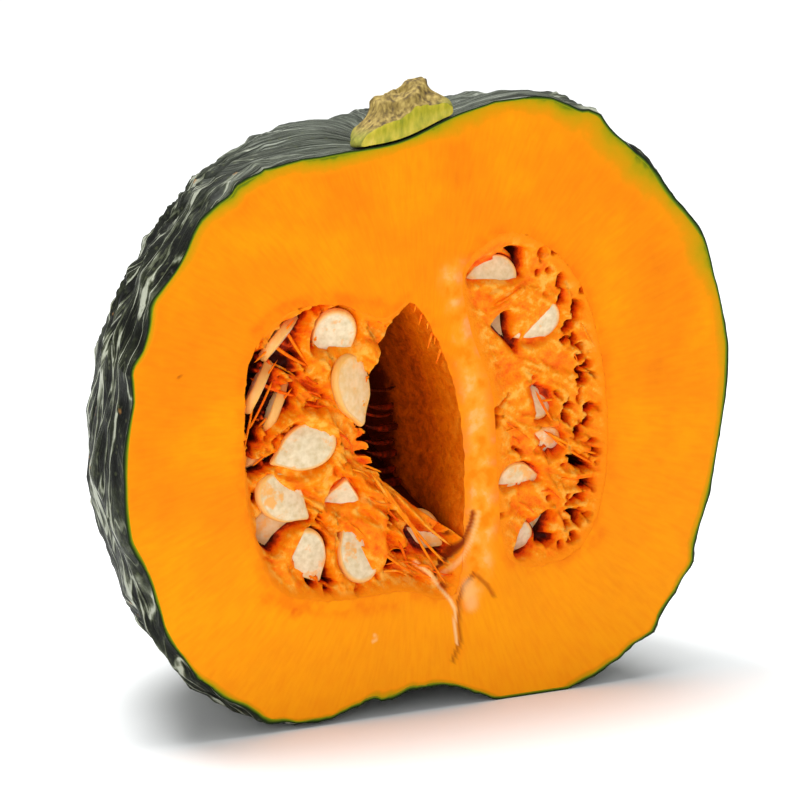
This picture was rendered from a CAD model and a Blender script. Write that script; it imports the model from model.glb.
import math
import random
from functools import partial

import bmesh
import bpy
from mathutils import Euler, Matrix, Vector, noise
from mathutils.kdtree import KDTree


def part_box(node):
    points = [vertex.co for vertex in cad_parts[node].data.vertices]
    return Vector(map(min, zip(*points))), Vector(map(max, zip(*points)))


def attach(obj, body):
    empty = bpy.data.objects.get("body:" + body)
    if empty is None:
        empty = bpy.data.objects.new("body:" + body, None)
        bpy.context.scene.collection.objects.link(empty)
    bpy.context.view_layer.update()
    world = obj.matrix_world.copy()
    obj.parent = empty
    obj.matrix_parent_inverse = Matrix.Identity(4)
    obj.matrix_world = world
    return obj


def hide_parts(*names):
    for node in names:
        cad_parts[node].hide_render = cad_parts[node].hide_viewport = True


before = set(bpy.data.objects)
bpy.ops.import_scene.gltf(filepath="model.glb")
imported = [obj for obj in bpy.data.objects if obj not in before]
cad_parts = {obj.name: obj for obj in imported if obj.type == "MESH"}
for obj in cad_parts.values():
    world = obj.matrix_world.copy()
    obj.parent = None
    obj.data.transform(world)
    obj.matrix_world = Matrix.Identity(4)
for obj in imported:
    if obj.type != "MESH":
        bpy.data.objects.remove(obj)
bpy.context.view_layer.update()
print("frame loaded")
noise.seed_set(11)  # so that the rind's crests run the same way every time

mm = 0.001
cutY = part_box("flesh")[0][1]  # the knife cut is the front of the flesh
knifeAhead = 9 * mm  # the cut passes this far in front of the stem's axis
middle = Vector((-3.8 * mm, cutY + knifeAhead, 73.6 * mm))  # middle of the squash
lean = math.radians(-5.9)  # the axis leans to the left

# Shape of the squash: distance from its middle to the skin in mm, from stem to blossom end
shape = {
    "right": (65, 74.3, 83.7, 84.9, 84.4, 87.6, 87.2, 86, 87.4, 89.5, 87.2, 80.2, 64.5),
    "back": (65, 72.5, 77.5, 81, 84, 85.5, 86.5, 87.5, 88.5, 88.5, 84.7, 75.5, 64.5),
    "backLeft": (65, 73.5, 75.4, 74.8, 74.8, 76.2, 77.3, 80.8, 79, 79.2, 81.8, 72.5, 64.5),
    "left": (65, 69.2, 76, 77.8, 77.8, 78.4, 80.4, 80.4, 84, 83.6, 78.4, 68.1, 64.5),
    "turns": ((-25, "right"), (90, "back"), (150, "backLeft"), (185, "left"), (335, "right"), (450, "back")),
    "lobes": 10,
    "grooveDepth": 2.2 * mm,
    "grooveWidth": math.radians(7),
    "grooveDrift": math.radians(2.5),
    "netHeight": 2.4 * mm,
    "netAround": 6.2,
    "netAlong": 1.75,
    "netWidth": 0.30,
    "seed": 11,
}
topReach = shape["left"][0] * mm  # from the middle to the skin under the stem


def ease(low, high, value):
    part = min(max((value - low) / (high - low), 0.0), 1.0)
    return part * part * (3 - 2 * part)


def mix(start, end, share):
    return start + (end - start) * share


def along(values, spot):  # smooth value at a fractional spot in a list
    last = len(values) - 1
    index = min(int(spot), last - 1)
    part = spot - index
    before, start, end, after = [values[min(max(index + step, 0), last)] for step in (-1, 0, 1, 2)]
    slopeIn = (end - before) / 2
    slopeOut = (after - start) / 2
    rise = end - start
    curve = 3 * rise - 2 * slopeIn - slopeOut + part * (slopeIn + slopeOut - 2 * rise)
    return start + part * (slopeIn + part * curve)


def around(points, share):  # smooth point at a share of the way round an outline
    count = len(points)
    spot = (share % 1.0) * count
    index = int(spot)
    ring = [points[(index + step) % count] for step in (-1, 0, 1, 2)]
    return [along([point[axis] for point in ring], 1 + spot - index) for axis in (0, 1)]


def grooveTurns():
    draws = random.Random(shape["seed"])
    step = math.tau / shape["lobes"]
    drift = shape["grooveDrift"]
    return [step * (index + 0.5) + draws.uniform(-drift, drift) for index in range(shape["lobes"])]


grooves = grooveTurns()


def skinRadius(polar, turn):
    spot = polar / math.pi * (len(shape["right"]) - 1)
    degrees = math.degrees(turn) % 360
    for (start, near), (end, far) in zip(shape["turns"], shape["turns"][1:]):
        if degrees < end:
            break
    return mix(along(shape[near], spot), along(shape[far], spot), ease(start, end, degrees)) * mm


def lobeRelief(polar, turn):
    depth = 0.0
    for groove in grooves:
        offset = (turn - groove + math.pi) % math.tau - math.pi
        depth += math.exp(-(offset / shape["grooveWidth"]) ** 2)
    return -shape["grooveDepth"] * depth * ease(0.15, 0.8, math.sin(polar))


def wrappedSpot(polar, turn, aroundScale, alongScale, shift):  # place in a noise wrapped round the squash
    reach = aroundScale * math.sin(polar) ** 0.8
    return Vector((reach * math.cos(turn), reach * math.sin(turn), alongScale * polar + shift))


def crestAt(spot, width):  # 1 on the lines where the noise crosses zero, 0 away from them
    return 1 - min(abs(noise.noise(spot)) / width, 1.0)


def netRelief(polar, turn):
    spot = wrappedSpot(polar, turn, shape["netAround"], shape["netAlong"], 3.0)
    broad, fine = crestAt(spot, shape["netWidth"]), crestAt(spot * 1.9, shape["netWidth"])
    smoothTop = ease(math.radians(14), math.radians(38), polar)
    smoothBase = 1 - ease(math.radians(158), math.radians(176), polar)
    return shape["netHeight"] * (0.75 * broad + 0.25 * fine) * smoothTop * smoothBase


def polarTurn(direction):
    polar = math.acos(max(-1.0, min(1.0, direction.z)))
    return polar, math.atan2(direction.y, direction.x)


def place(point):  # from the squash's own middle to the frame
    return Matrix.Rotation(lean, 3, "Y") @ point + middle


def skinAt(direction):
    polar, turn = polarTurn(direction)
    return skinRadius(polar, turn) + lobeRelief(polar, turn) + netRelief(polar, turn)


# Small helpers for meshes and materials

def toLinear(hexColour):
    channels = [int(hexColour[start:start + 2], 16) / 255 for start in (1, 3, 5)]
    return (*[c / 12.92 if c <= 0.04045 else ((c + 0.055) / 1.055) ** 2.4 for c in channels], 1.0)


def setInputs(node, values):  # a list goes to the sockets in their order, a dictionary by their names
    for key, value in values.items() if isinstance(values, dict) else enumerate(values):
        if isinstance(value, bpy.types.NodeSocket):
            node.id_data.links.new(value, node.inputs[key])
        else:
            node.inputs[key].default_value = toLinear(value) if isinstance(value, str) else value


mainOutputs = {"Attribute": "Fac", "TexCoord": "Object", "Mix": 2}


def addNode(tree, kind, inputs=(), settings=None, ramp=None, output=None):  # gives back the node's output
    node = tree.nodes.new("ShaderNode" + kind)
    if isinstance(settings, str):
        settings = {"operation": settings}
    for key, value in (settings or {}).items():
        setattr(node, key, value)
    setInputs(node, inputs)
    if ramp:
        stops = node.color_ramp.elements
        while len(stops) < len(ramp):
            stops.new(1.0)
        for stop, (position, colour) in zip(stops, ramp):
            stop.position = position
            stop.color = toLinear(colour)
    return node.outputs[output or mainOutputs.get(kind, 0)]


def readAttributes(add, *names):
    return [add("Attribute", settings={"attribute_name": name}) for name in names]


def newMaterial(name):
    material = bpy.data.materials.new(name)
    material.use_nodes = True
    tree = material.node_tree
    return material, partial(addNode, tree), tree.nodes["Principled BSDF"]


def newLayers(bm, *names):
    return [bm.verts.layers.float.new(name) for name in names]


def toMesh(name, bm):
    mesh = bpy.data.meshes.new(name)
    bm.to_mesh(mesh)
    bm.free()
    return mesh


def addObject(name, data):
    thing = bpy.data.objects.new(name, data)
    bpy.context.scene.collection.objects.link(thing)
    return thing


def finishPiece(name, bm, materials, node):
    mesh = toMesh(name, bm)
    for material in materials:
        mesh.materials.append(material)
    for polygon in mesh.polygons:
        polygon.use_smooth = True
    piece = addObject(name, mesh)
    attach(piece, "root")
    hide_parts(node)


def combine(bm, tools):  # cut or trim a solid by others, and give back the result
    thing = addObject("work", toMesh("work", bm))
    cutters = []
    for tool, operation in tools:
        cutters.append(addObject("cutter", toMesh("cutter", tool)))
        modifier = thing.modifiers.new("combine", "BOOLEAN")
        modifier.operation = operation
        modifier.solver = "MANIFOLD"
        modifier.object = cutters[-1]
    graph = bpy.context.evaluated_depsgraph_get()
    result = bmesh.new()
    result.from_mesh(bpy.data.meshes.new_from_object(thing.evaluated_get(graph)))
    for extra in [thing] + cutters:
        bpy.data.objects.remove(extra, do_unlink=True)
    return result


def turnOut(bm):  # make the faces of a closed solid look outwards
    bmesh.ops.recalc_face_normals(bm, faces=bm.faces[:])
    if bm.calc_volume(signed=True) < 0:
        bmesh.ops.reverse_faces(bm, faces=bm.faces[:])


def mergeSeam(bm, verts):
    bmesh.ops.remove_doubles(bm, verts=verts, dist=0.002 * mm)


def wrappedGrid(segments, rings, position):  # grid rolled up into a ball or disc, its seam and ends merged
    bm = bmesh.new()
    bmesh.ops.create_grid(bm, x_segments=segments, y_segments=rings, size=0.5)
    for vert in bm.verts:
        vert.co = position(math.tau * (vert.co.x + 0.5), vert.co.y + 0.5)
    mergeSeam(bm, bm.verts[:])
    return bm


def halfBall(segments, rings):  # unit ball about the y axis, from its back to just past the cut
    past = math.radians(99)

    def position(turn, share):
        spread = math.sin(past * share)
        return spread * math.cos(turn), math.cos(past * share), spread * math.sin(turn)

    return wrappedGrid(segments, rings, position)


def trimFront(bm, behind=0.0):
    geometry = bm.verts[:] + bm.edges[:] + bm.faces[:]
    front = (0, cutY + behind, 0)
    return bmesh.ops.bisect_plane(bm, geom=geometry, plane_co=front, plane_no=(0, -1, 0), clear_outer=True)


def fromCut(vert):  # place on the cut from the middle (x and z), and depth behind it
    return vert.co.x - middle.x, vert.co.y - cutY, vert.co.z - middle.z


def insetSkin(segments, rings, inset, lowest, behind):  # open shell under the skin, trimmed near the cut
    bm = halfBall(segments, rings)
    for vert in bm.verts:
        direction = vert.co.normalized()
        vert.co = place(direction * (skinAt(direction) - inset))
        vert.co.z = max(vert.co.z, lowest)
    trimFront(bm, behind)
    return bm


def closeWith(bm, other):  # join a second open mesh on at the rims: its vertices and the faces between
    outerRim = [edge for edge in bm.edges if edge.is_boundary]
    known = set(bm.verts)
    spare = toMesh("spare", other)
    bm.from_mesh(spare)
    bpy.data.meshes.remove(spare)
    innerRim = [edge for edge in bm.edges if edge.is_boundary and edge.verts[0] not in known]
    rim = bmesh.ops.bridge_loops(bm, edges=outerRim + innerRim)
    return [vert for vert in bm.verts if vert not in known], rim["faces"]


# Rind: waxy skin with raised braided cords, warts and scars

rindPiece = {
    "segments": 600,
    "rings": 110,
    "insideSegments": 400,
    "insideRings": 56,
    "thickness": 0.8 * mm,
    "warts": 150,
    "wartWidth": (0.5 * mm, 1.1 * mm),
    "wartHeight": 0.45 * mm,
    "wartStretches": (1.0, 1.2, 1.5, 3.5),
    "wartSwing": 1.7,  # how far round from the back they go, in radians
    "seed": 5,
    "pimple": 0.10 * mm,
    "streak": 0.14 * mm,
    "braid": 0.45 * mm,
    "braidAround": 13.0,
    "braidAlong": 2.8,
    "braidWidth": 0.30,
}


def braidRelief(polar, turn):  # narrow crests that run lengthwise, part and join again
    spot = wrappedSpot(polar, turn, rindPiece["braidAround"], rindPiece["braidAlong"], 9.0)
    spot += 0.55 * noise.noise_vector(spot * 0.45)
    crest, side = crestAt(spot, rindPiece["braidWidth"]), crestAt(spot * 1.8, rindPiece["braidWidth"])
    return (crest ** 1.3 + 0.35 * side) * ease(math.radians(24), math.radians(48), polar)


def wartSpots():
    draws = random.Random(rindPiece["seed"])
    spots = []
    for index in range(rindPiece["warts"]):
        swing = draws.uniform(-rindPiece["wartSwing"], rindPiece["wartSwing"])
        polar = math.acos(draws.uniform(-0.95, 0.85))
        spread = math.sin(polar)
        direction = Vector((-math.sin(swing) * spread, math.cos(swing) * spread, math.cos(polar)))
        width = draws.uniform(*rindPiece["wartWidth"])
        stretch = draws.choice(rindPiece["wartStretches"])
        spots.append((direction, width, stretch, draws.uniform(-0.6, 0.6)))
    return spots


def wartAt(direction, spots, tree):
    height = 0.0
    for _, index, _ in tree.find_range(direction, 0.06):
        spotDirection, width, stretch, tilt = spots[index]
        offset = (direction - spotDirection) * (85 * mm)  # on the skin
        down = Vector((0, 0, 1)) - spotDirection * spotDirection.z
        down.normalize()
        side = spotDirection.cross(down)
        length = offset.dot(down) * math.cos(tilt) + offset.dot(side) * math.sin(tilt)
        across = offset.dot(side) * math.cos(tilt) - offset.dot(down) * math.sin(tilt)
        reach = (length / (width * stretch)) ** 2 + (across / width) ** 2
        height = max(height, math.exp(-1.6 * reach))
    return height


def buildRind(skinMaterial, edgeMaterial):
    spots = wartSpots()
    tree = KDTree(len(spots))
    for index, spot in enumerate(spots):
        tree.insert(spot[0], index)
    tree.balance()
    bm = halfBall(rindPiece["segments"], rindPiece["rings"])
    ridge, wart, swing, down, depth = newLayers(bm, "ridge", "wart", "swing", "down", "depth")
    for vert in bm.verts:
        direction = vert.co.normalized()
        polar, turn = polarTurn(direction)
        net = netRelief(polar, turn)
        lobe = lobeRelief(polar, turn)
        angle = math.atan2(-direction.x, direction.y)
        top = 1 - ease(math.radians(20), math.radians(60), polar)
        reach = 30 * math.sin(polar) ** 0.5
        streaks = noise.noise(Vector((math.sin(angle) * reach, math.cos(angle) * reach, polar * 1.5)))
        pimples = noise.noise(direction * 42)
        braid = braidRelief(polar, turn)
        vert[wart] = wartAt(direction, spots, tree)
        vert[ridge] = 0.45 * net / shape["netHeight"] + 0.55 * braid + 0.3 * lobe / shape["grooveDepth"]
        vert[swing] = angle
        vert[down] = polar
        radius = skinRadius(polar, turn) + lobe + net + rindPiece["braid"] * (braid - 0.3)
        radius += rindPiece["wartHeight"] * vert[wart]
        radius += rindPiece["pimple"] * pimples * (1 - top)
        radius += rindPiece["streak"] * streaks * mix(0.5, 1.0, top)
        vert.co = place(direction * radius)
        vert.co.z = max(vert.co.z, 0.0)
    trimFront(bm)
    thickness = rindPiece["thickness"]
    inside = insetSkin(rindPiece["insideSegments"], rindPiece["insideRings"], thickness, thickness, 0.0)
    bmesh.ops.reverse_faces(inside, faces=inside.faces[:])
    insideVerts, rim = closeWith(bm, inside)
    for vert in insideVerts:
        vert[depth] = 1.0
    for face in rim:
        face.material_index = 1
        for edge in face.edges:
            edge.smooth = False
    turnOut(bm)
    finishPiece("rind_skin", bm, [skinMaterial, edgeMaterial], "rind")


# Flesh: cut face with the two hollows, and the pale band between them; outlines are in mm from the middle

fleshPiece = {
    "rings": 92,
    "spokes": 520,
    "inset": 0.6 * mm,
    "backInset": 1.4 * mm,
    "backLowest": 1.6 * mm,
    "behindRind": 0.08 * mm,
    "backSegments": 120,
    "backRings": 30,
    "leftHollow": (
        (-4, 28), (4, 16), (9, 0), (10.5, -20), (8, -45), (-7, -43), (-27, -43),
        (-41, -38), (-48, -20), (-49, 0), (-47, 18), (-37, 28), (-24, 29), (-12, 25),
    ),
    "leftDepth": 50 * mm,
    "rightHollow": (
        (10, 35), (21.5, 43.2), (34, 38.5), (44, 27), (50, 6), (51, -18),
        (45, -36), (31, -41), (22, -36), (19.5, -16), (18, 4), (12, 20),
    ),
    "rightDepth": 44 * mm,
    "torn": 0.7 * mm,
    "band": ((8, 33), (12, 22), (13.5, 5), (14.5, -10), (15, -24), (14, -36), (10, -46)),
    # how far the green under the skin reaches in, in mm, by degrees round the rim
    "greenReach": (
        (0, 3.6), (25, 7.0), (50, 8.5), (75, 6.5), (95, 4.0), (115, 4.5), (135, 4.0), (160, 1.8),
        (190, 1.0), (225, 1.6), (250, 1.6), (280, 2.0), (310, 2.0), (340, 2.4), (360, 3.6),
    ),
}
# lines on the cut: half width, strength, and the points that each follows
darkLines = (
    (0.9, 1, ((13, -25.4), (12.5, -27.8), (10.4, -31.9), (7.5, -36), (3.5, -40))),
    (0.7, 0.8, ((8.8, -47.6), (10.3, -43.6), (13.2, -40.8))),
    (0.7, 0.6, ((14.3, -41.4), (17, -44), (18.8, -46.8))),
    (0.7, 0.7, ((9.2, -48.6), (9, -52.6), (9.6, -57), (7.4, -62))), (1, 0.9, ((6.9, -30), (7.3, -30.5))),
    (0.8, 0.8, ((5.6, -43), (6, -43.5))), (0.4, 0.8, ((-65.5, 15.3), (-65.3, 15.4))),
    (0.4, 0.6, ((-62.9, -38.3), (-62.7, -38.2))),
)
paleLines = (
    (0.5, 1, ((-2.2, -36.4), (0.5, -38.9), (3.9, -42.7), (6.8, -47), (8, -49.5), (7.8, -52.7),
    (8.4, -57.6))), (0.6, 0.5, ((14.4, -25.4), (13.7, -28.8), (11.9, -33), (9.1, -37.3), (5.9, -41.2))),
    (2.2, 0.5, ((11.6, -43.4), (12.4, -48.2))), (0.45, 0.6, ((-14.4, -52.8), (-14, -54), (-15, -54.6))),
)
redLines = (
    (1.6, 0.9, ((-36, -44.5), (-34.8, -44.6))), (3, 0.5, ((-44, -40), (-34, -43), (-20, -45.5), (-8, -45))),
    (2, 0.5, ((-46, 24), (-38, 29.5), (-26, 31), (-12, 28))), (2.4, 0.5, ((46.4, -37), (49.4, -34.4))),
)


def rimReach(angle):  # distance along the cut from its middle to the skin
    reach = 80 * mm
    for step in range(5):
        onCut = Vector((reach * math.cos(angle), -knifeAhead, reach * math.sin(angle)))
        direction = (Matrix.Rotation(-lean, 3, "Y") @ onCut).normalized()
        reach = math.sqrt(skinAt(direction) ** 2 - knifeAhead ** 2)
    return reach


rimSteps = 1440
rimReaches = [rimReach(math.tau * index / rimSteps) for index in range(rimSteps)]


def rimAt(angle):
    spot = (angle % math.tau) / math.tau * rimSteps
    index = int(spot)
    return mix(rimReaches[index % rimSteps], rimReaches[(index + 1) % rimSteps], spot - index)


def lineDistance(x, z, line):  # distance from a place to a line of points
    best = 1.0
    for (startX, startZ), (endX, endZ) in zip(line, line[1:]):
        ax, az, bx, bz = startX * mm, startZ * mm, endX * mm, endZ * mm
        length = (bx - ax) ** 2 + (bz - az) ** 2
        share = min(max(((x - ax) * (bx - ax) + (z - az) * (bz - az)) / length, 0.0), 1.0)
        best = min(best, math.hypot(x - mix(ax, bx, share), z - mix(az, bz, share)))
    return best


def drawnMark(x, z, lines):  # how strongly the nearest of some lines shows at a place on the cut
    mark = 0.0
    for width, strength, points in lines:
        distance = lineDistance(x, z, points)
        mark = max(mark, strength * (1 - ease(0.25 * width * mm, 1.25 * width * mm, distance)))
    return mark


def hollowDome(outline, depth, grow, segments, rings, torn, seedShift):
    centre = [sum(point[axis] for point in outline) / len(outline) * mm for axis in (0, 1)]
    reach = max(math.dist((point[0] * mm, point[1] * mm), centre) for point in outline)
    front = 4 * mm

    def position(turn, share):
        x, z = [value * mm for value in around(outline, turn / math.tau)]
        back = (depth + front + grow) * math.cos(math.pi * share) - front
        wave = noise.noise(Vector((x * 420, z * 420, back * 90 + seedShift)))
        wave += 0.6 * noise.noise(Vector((x * 1100, z * 1100, back * 200 + seedShift)))
        scale = math.sin(math.pi * share) * (1 + (grow + torn * wave) / reach)
        return (
            middle.x + centre[0] + (x - centre[0]) * scale,
            cutY + back,
            middle.z + centre[1] + (z - centre[1]) * scale,
        )

    bm = wrappedGrid(segments, rings, position)
    turnOut(bm)
    return bm


def outlineTree(outline):  # for the distance from a place to an outline
    count = 400
    tree = KDTree(count)
    for index in range(count):
        x, z = around(outline, index / count)
        tree.insert((x * mm, z * mm, 0), index)
    tree.balance()
    return tree


def buildFlesh(fleshMaterial, wallMaterial):

    def position(turn, share):
        reach = share * (rimAt(turn) - fleshPiece["inset"])
        level = max(middle.z + reach * math.sin(turn), fleshPiece["inset"] + 0.2 * mm)
        return middle.x + reach * math.cos(turn), cutY + fleshPiece["behindRind"], level

    bm = wrappedGrid(fleshPiece["spokes"], fleshPiece["rings"], position)
    back = [fleshPiece[key] for key in ("backSegments", "backRings", "backInset", "backLowest")]
    closeWith(bm, insetSkin(*back, 2.0 * mm))
    turnOut(bm)
    torn = fleshPiece["torn"]
    bm = combine(bm, [
        (hollowDome(fleshPiece["leftHollow"], fleshPiece["leftDepth"], 0, 260, 70, torn, 0), "DIFFERENCE"),
        (hollowDome(fleshPiece["rightHollow"], fleshPiece["rightDepth"], 0, 240, 64, torn, 9), "DIFFERENCE"),
    ])
    shadeFlesh(bm)
    finishPiece("flesh_cut", bm, [fleshMaterial, wallMaterial], "flesh")


def greenReach(angle):
    degrees = math.degrees(angle) % 360
    for (start, near), (end, far) in zip(fleshPiece["greenReach"], fleshPiece["greenReach"][1:]):
        if degrees <= end:
            break
    return mix(near, far, ease(0, 1, (degrees - start) / (end - start))) * mm


def shadeFlesh(bm):
    depth, green, pale, crease, fold, red, swing, deep = newLayers(
        bm, "depth", "green", "pale", "crease", "fold", "red", "swing", "deep")
    shores = [outlineTree(fleshPiece[name]) for name in ("leftHollow", "rightHollow")]
    for vert in bm.verts:
        x, behind, z = fromCut(vert)
        angle = math.atan2(z, x)
        under = rimAt(angle) - math.hypot(x, z)
        vert[depth] = under / (10 * mm)
        wander = 1 + 0.45 * noise.noise(Vector((math.cos(angle) * 3, math.sin(angle) * 3, 4.0)))
        vert[green] = under / (greenReach(angle) * wander)
        vert[pale] = 0.85 - 0.85 * ease(1.5 * mm, 7 * mm, lineDistance(x, z, fleshPiece["band"]))
        vert[swing] = abs(angle)
        vert[deep] = 0.45 * ease(2 * mm, 18 * mm, behind) + 0.55 * ease(25 * mm, 31 * mm, behind)
        if behind < 0.2 * mm:
            vert[crease] = drawnMark(x, z, darkLines)
            vert[fold] = drawnMark(x, z, paleLines)
            shore = min(tree.find((x, z, 0))[2] for tree in shores)
            vert[red] = max(0.45 * (1 - ease(0.2 * mm, 3.5 * mm, shore)), drawnMark(x, z, redLines))
            vert.co.y += 0.6 * mm * vert[crease]
    for edge in bm.edges:
        if edge.calc_face_angle(0.0) > math.radians(35):
            edge.smooth = False
    for face in bm.faces:  # the walls of the hollows
        centre = face.calc_center_median()
        if centre.y > cutY + 0.15 * mm and (centre - middle).length < 62 * mm and abs(face.normal.y) < 0.98:
            face.material_index = 1


# Seeds: cream, flat, pointed, with a raised yellow margin

seedPiece = {
    "length": 18.5 * mm,
    "width": 11.2 * mm,
    "thickness": 3.6 * mm,
    "taper": 0.30,
    "segments": 56,
    "rings": 26,
    "margin": 0.35 * mm,
    "unevenness": 0.25 * mm,
}
# each seed: place on the cut from the middle (x, z), depth behind it, heading of the tip, roll, nod,
# scale, the direction and share of it that the pulp covers, and how golden its coat is
leftSeeds = (
    (-23.4, 20, 4.7, -98, 12, 18, 0.88, -90, 0.3, 0.1), (-19, 7.4, 2.8, -74, -22, 4, 1.02, 0, 0, 0.55),
    (-32.2, -5.4, 3, 200, 8, 3, 0.96, 60, 0.1, 0.15), (-37.2, -17.6, 3.4, -38, -8, 4, 0.92, 0, 0, 0.2),
    (-35.8, -25.6, 8.6, -18, 10, 2, 0.88, 0, 0, 0.5), (-30.6, -32.2, 4.5, -62, 6, 10, 0.85, 150, 0.22, 0.1),
    (-20.5, -20.5, 6.2, 84, -10, -14, 0.72, -80, 0.42, 0.15),
    (-17.6, -32.6, 4.2, 112, 10, 8, 0.86, 20, 0.3, 0.15), (-42.2, 9.8, 6.6, 58, 66, 6, 0.76, 0, 0, 0.3),
    (-37.2, 4.2, 8.2, 66, 72, -4, 0.78, 0, 0, 0.35), (-36.4, 21.2, 7, 45, 64, 4, 0.76, 0, 0, 0.3),
    (-42.4, -8.4, 9.8, 20, 70, 0, 0.5, 0, 0, 0.3), (2.6, -30.2, 7.8, -35, 20, -4, 0.72, 60, 0.4, 0.5),
)
rightSeeds = (
    (19.2, 32.2, 4.2, 184, 10, 2, 0.8, -90, 0.35, 0.3), (26, 35.6, 9.4, 160, 40, 0, 0.6, 0, 0.3, 0.1),
    (32, 20, 4, 208, -8, 6, 0.76, 128, 0.38, 0.1), (22.6, 16.8, 8.4, 250, 14, 6, 0.68, 225, 0.45, 0.6),
    (31.2, 0.2, 5, 172, 20, -8, 0.68, 200, 0.42, 0.3),
    (34.2, -10.6, 5.4, 190, -22, 4, 0.62, 220, 0.42, 0.2), (27.4, -19, 4.6, 4, 16, 4, 0.68, -90, 0.32, 0.3),
    (28, -33.8, 6.4, 252, 10, 8, 0.5, 150, 0.35, 0.1), (35.8, -31.4, 8.6, 30, 24, -6, 0.56, -20, 0.48, 0.2),
)


def buildSeed(name, entry, material, node):
    x, z, behind, heading, roll, nod, scale, _, _, gold = entry
    bm = bmesh.new()
    segments, rings = seedPiece["segments"], seedPiece["rings"]
    bmesh.ops.create_uvsphere(bm, u_segments=segments, v_segments=rings, radius=1.0)
    margin, golden = newLayers(bm, "margin", "golden")
    turn = Matrix.Identity(3)
    for angles in ((0, -heading, 0), (0, 0, nod), (roll, 0, 0)):
        turn = turn @ Euler([math.radians(angle) for angle in angles]).to_matrix()
    spot = Vector((x * mm, -knifeAhead + behind * mm, z * mm)) + middle
    for vert in bm.verts:
        share, side, face = vert.co
        out = math.hypot(share, side)
        taper = 1 - seedPiece["taper"] * share - 0.12 * share * share
        pinch = 1 - 0.4 * ease(0.3, 1.0, share)
        flat = math.copysign(max(1 - out ** 2, 0.0) ** 0.27, face)
        rim = math.exp(-((out - 0.93) / 0.035) ** 2)
        vert[margin] = ease(0.83, 0.93, out)
        vert[golden] = gold
        thick = seedPiece["thickness"] / 2 * 0.86 * flat
        thick += math.copysign(seedPiece["margin"] * rim * (1 - 0.6 * ease(0.9, 1.0, out)), face)
        local = Vector((
            share * seedPiece["length"] * scale / 2,
            thick,
            side * seedPiece["width"] * (0.5 + 0.5 * scale) / 2 * taper * pinch,
        ))
        local.y += seedPiece["unevenness"] * noise.noise(local * 260 + spot * 30)
        vert.co = spot + turn @ local
    turnOut(bm)
    finishPiece(name, bm, [material], node)


# Pulp: wet orange strings and membranes round the seeds; places and lengths in the tables are in mm

# pits: place (x, z), half widths, turn of the long way, depth
leftPits = (
    (-33.5, 19.1, 10, 6, 35, 4.5), (-44.6, 11.2, 4, 11, 8, 5), (-39.9, 5.4, 5, 8, 20, 4),
    (-45.2, -0.4, 3, 6, 0, 6), (-29.2, 4, 3, 2.2, 10, 5), (-27.6, 18.1, 2, 4, -60, 5),
    (-27.3, 28.7, 4, 1.6, 20, 5), (-39.9, -2.1, 2.5, 1.6, 30, 5), (-24.4, -4, 1.4, 1.2, 0, 5),
    (-46, -7.7, 1.8, 2.6, 0, 5), (-44.7, -16.2, 1.1, 1, 0, 4), (-26.6, -23.3, 1.7, 1.3, 0, 6),
    (-26.3, -28.1, 2.6, 4.4, 5, 12), (-26, -35.2, 2.6, 5, 4, 13), (-29.4, -38.8, 2.6, 0.9, -35, 4),
    (-36.7, -33.5, 2.2, 0.9, -50, 4), (-23.9, -18.8, 2.6, 1.2, 20, 4), (-21.8, -26.6, 1.4, 2.8, 0, 4),
    (-12.3, -37.8, 1.3, 1.8, 0, 5), (-8.4, -36.2, 1.8, 1.4, 20, 5), (-17.6, -41.2, 1.8, 1, 30, 4),
    (-7.8, -25.1, 1.5, 1.9, -30, 5), (-15.6, -30.3, 1.2, 1, 0, 4), (-3, -34.1, 3.6, 1.2, -10, 4),
    (4.8, -32.6, 2.4, 3.6, 20, 5), (-20.3, 29.8, 3, 1.2, 5, 4), (-31, 25.7, 3, 1.5, 40, 5),
)
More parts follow.
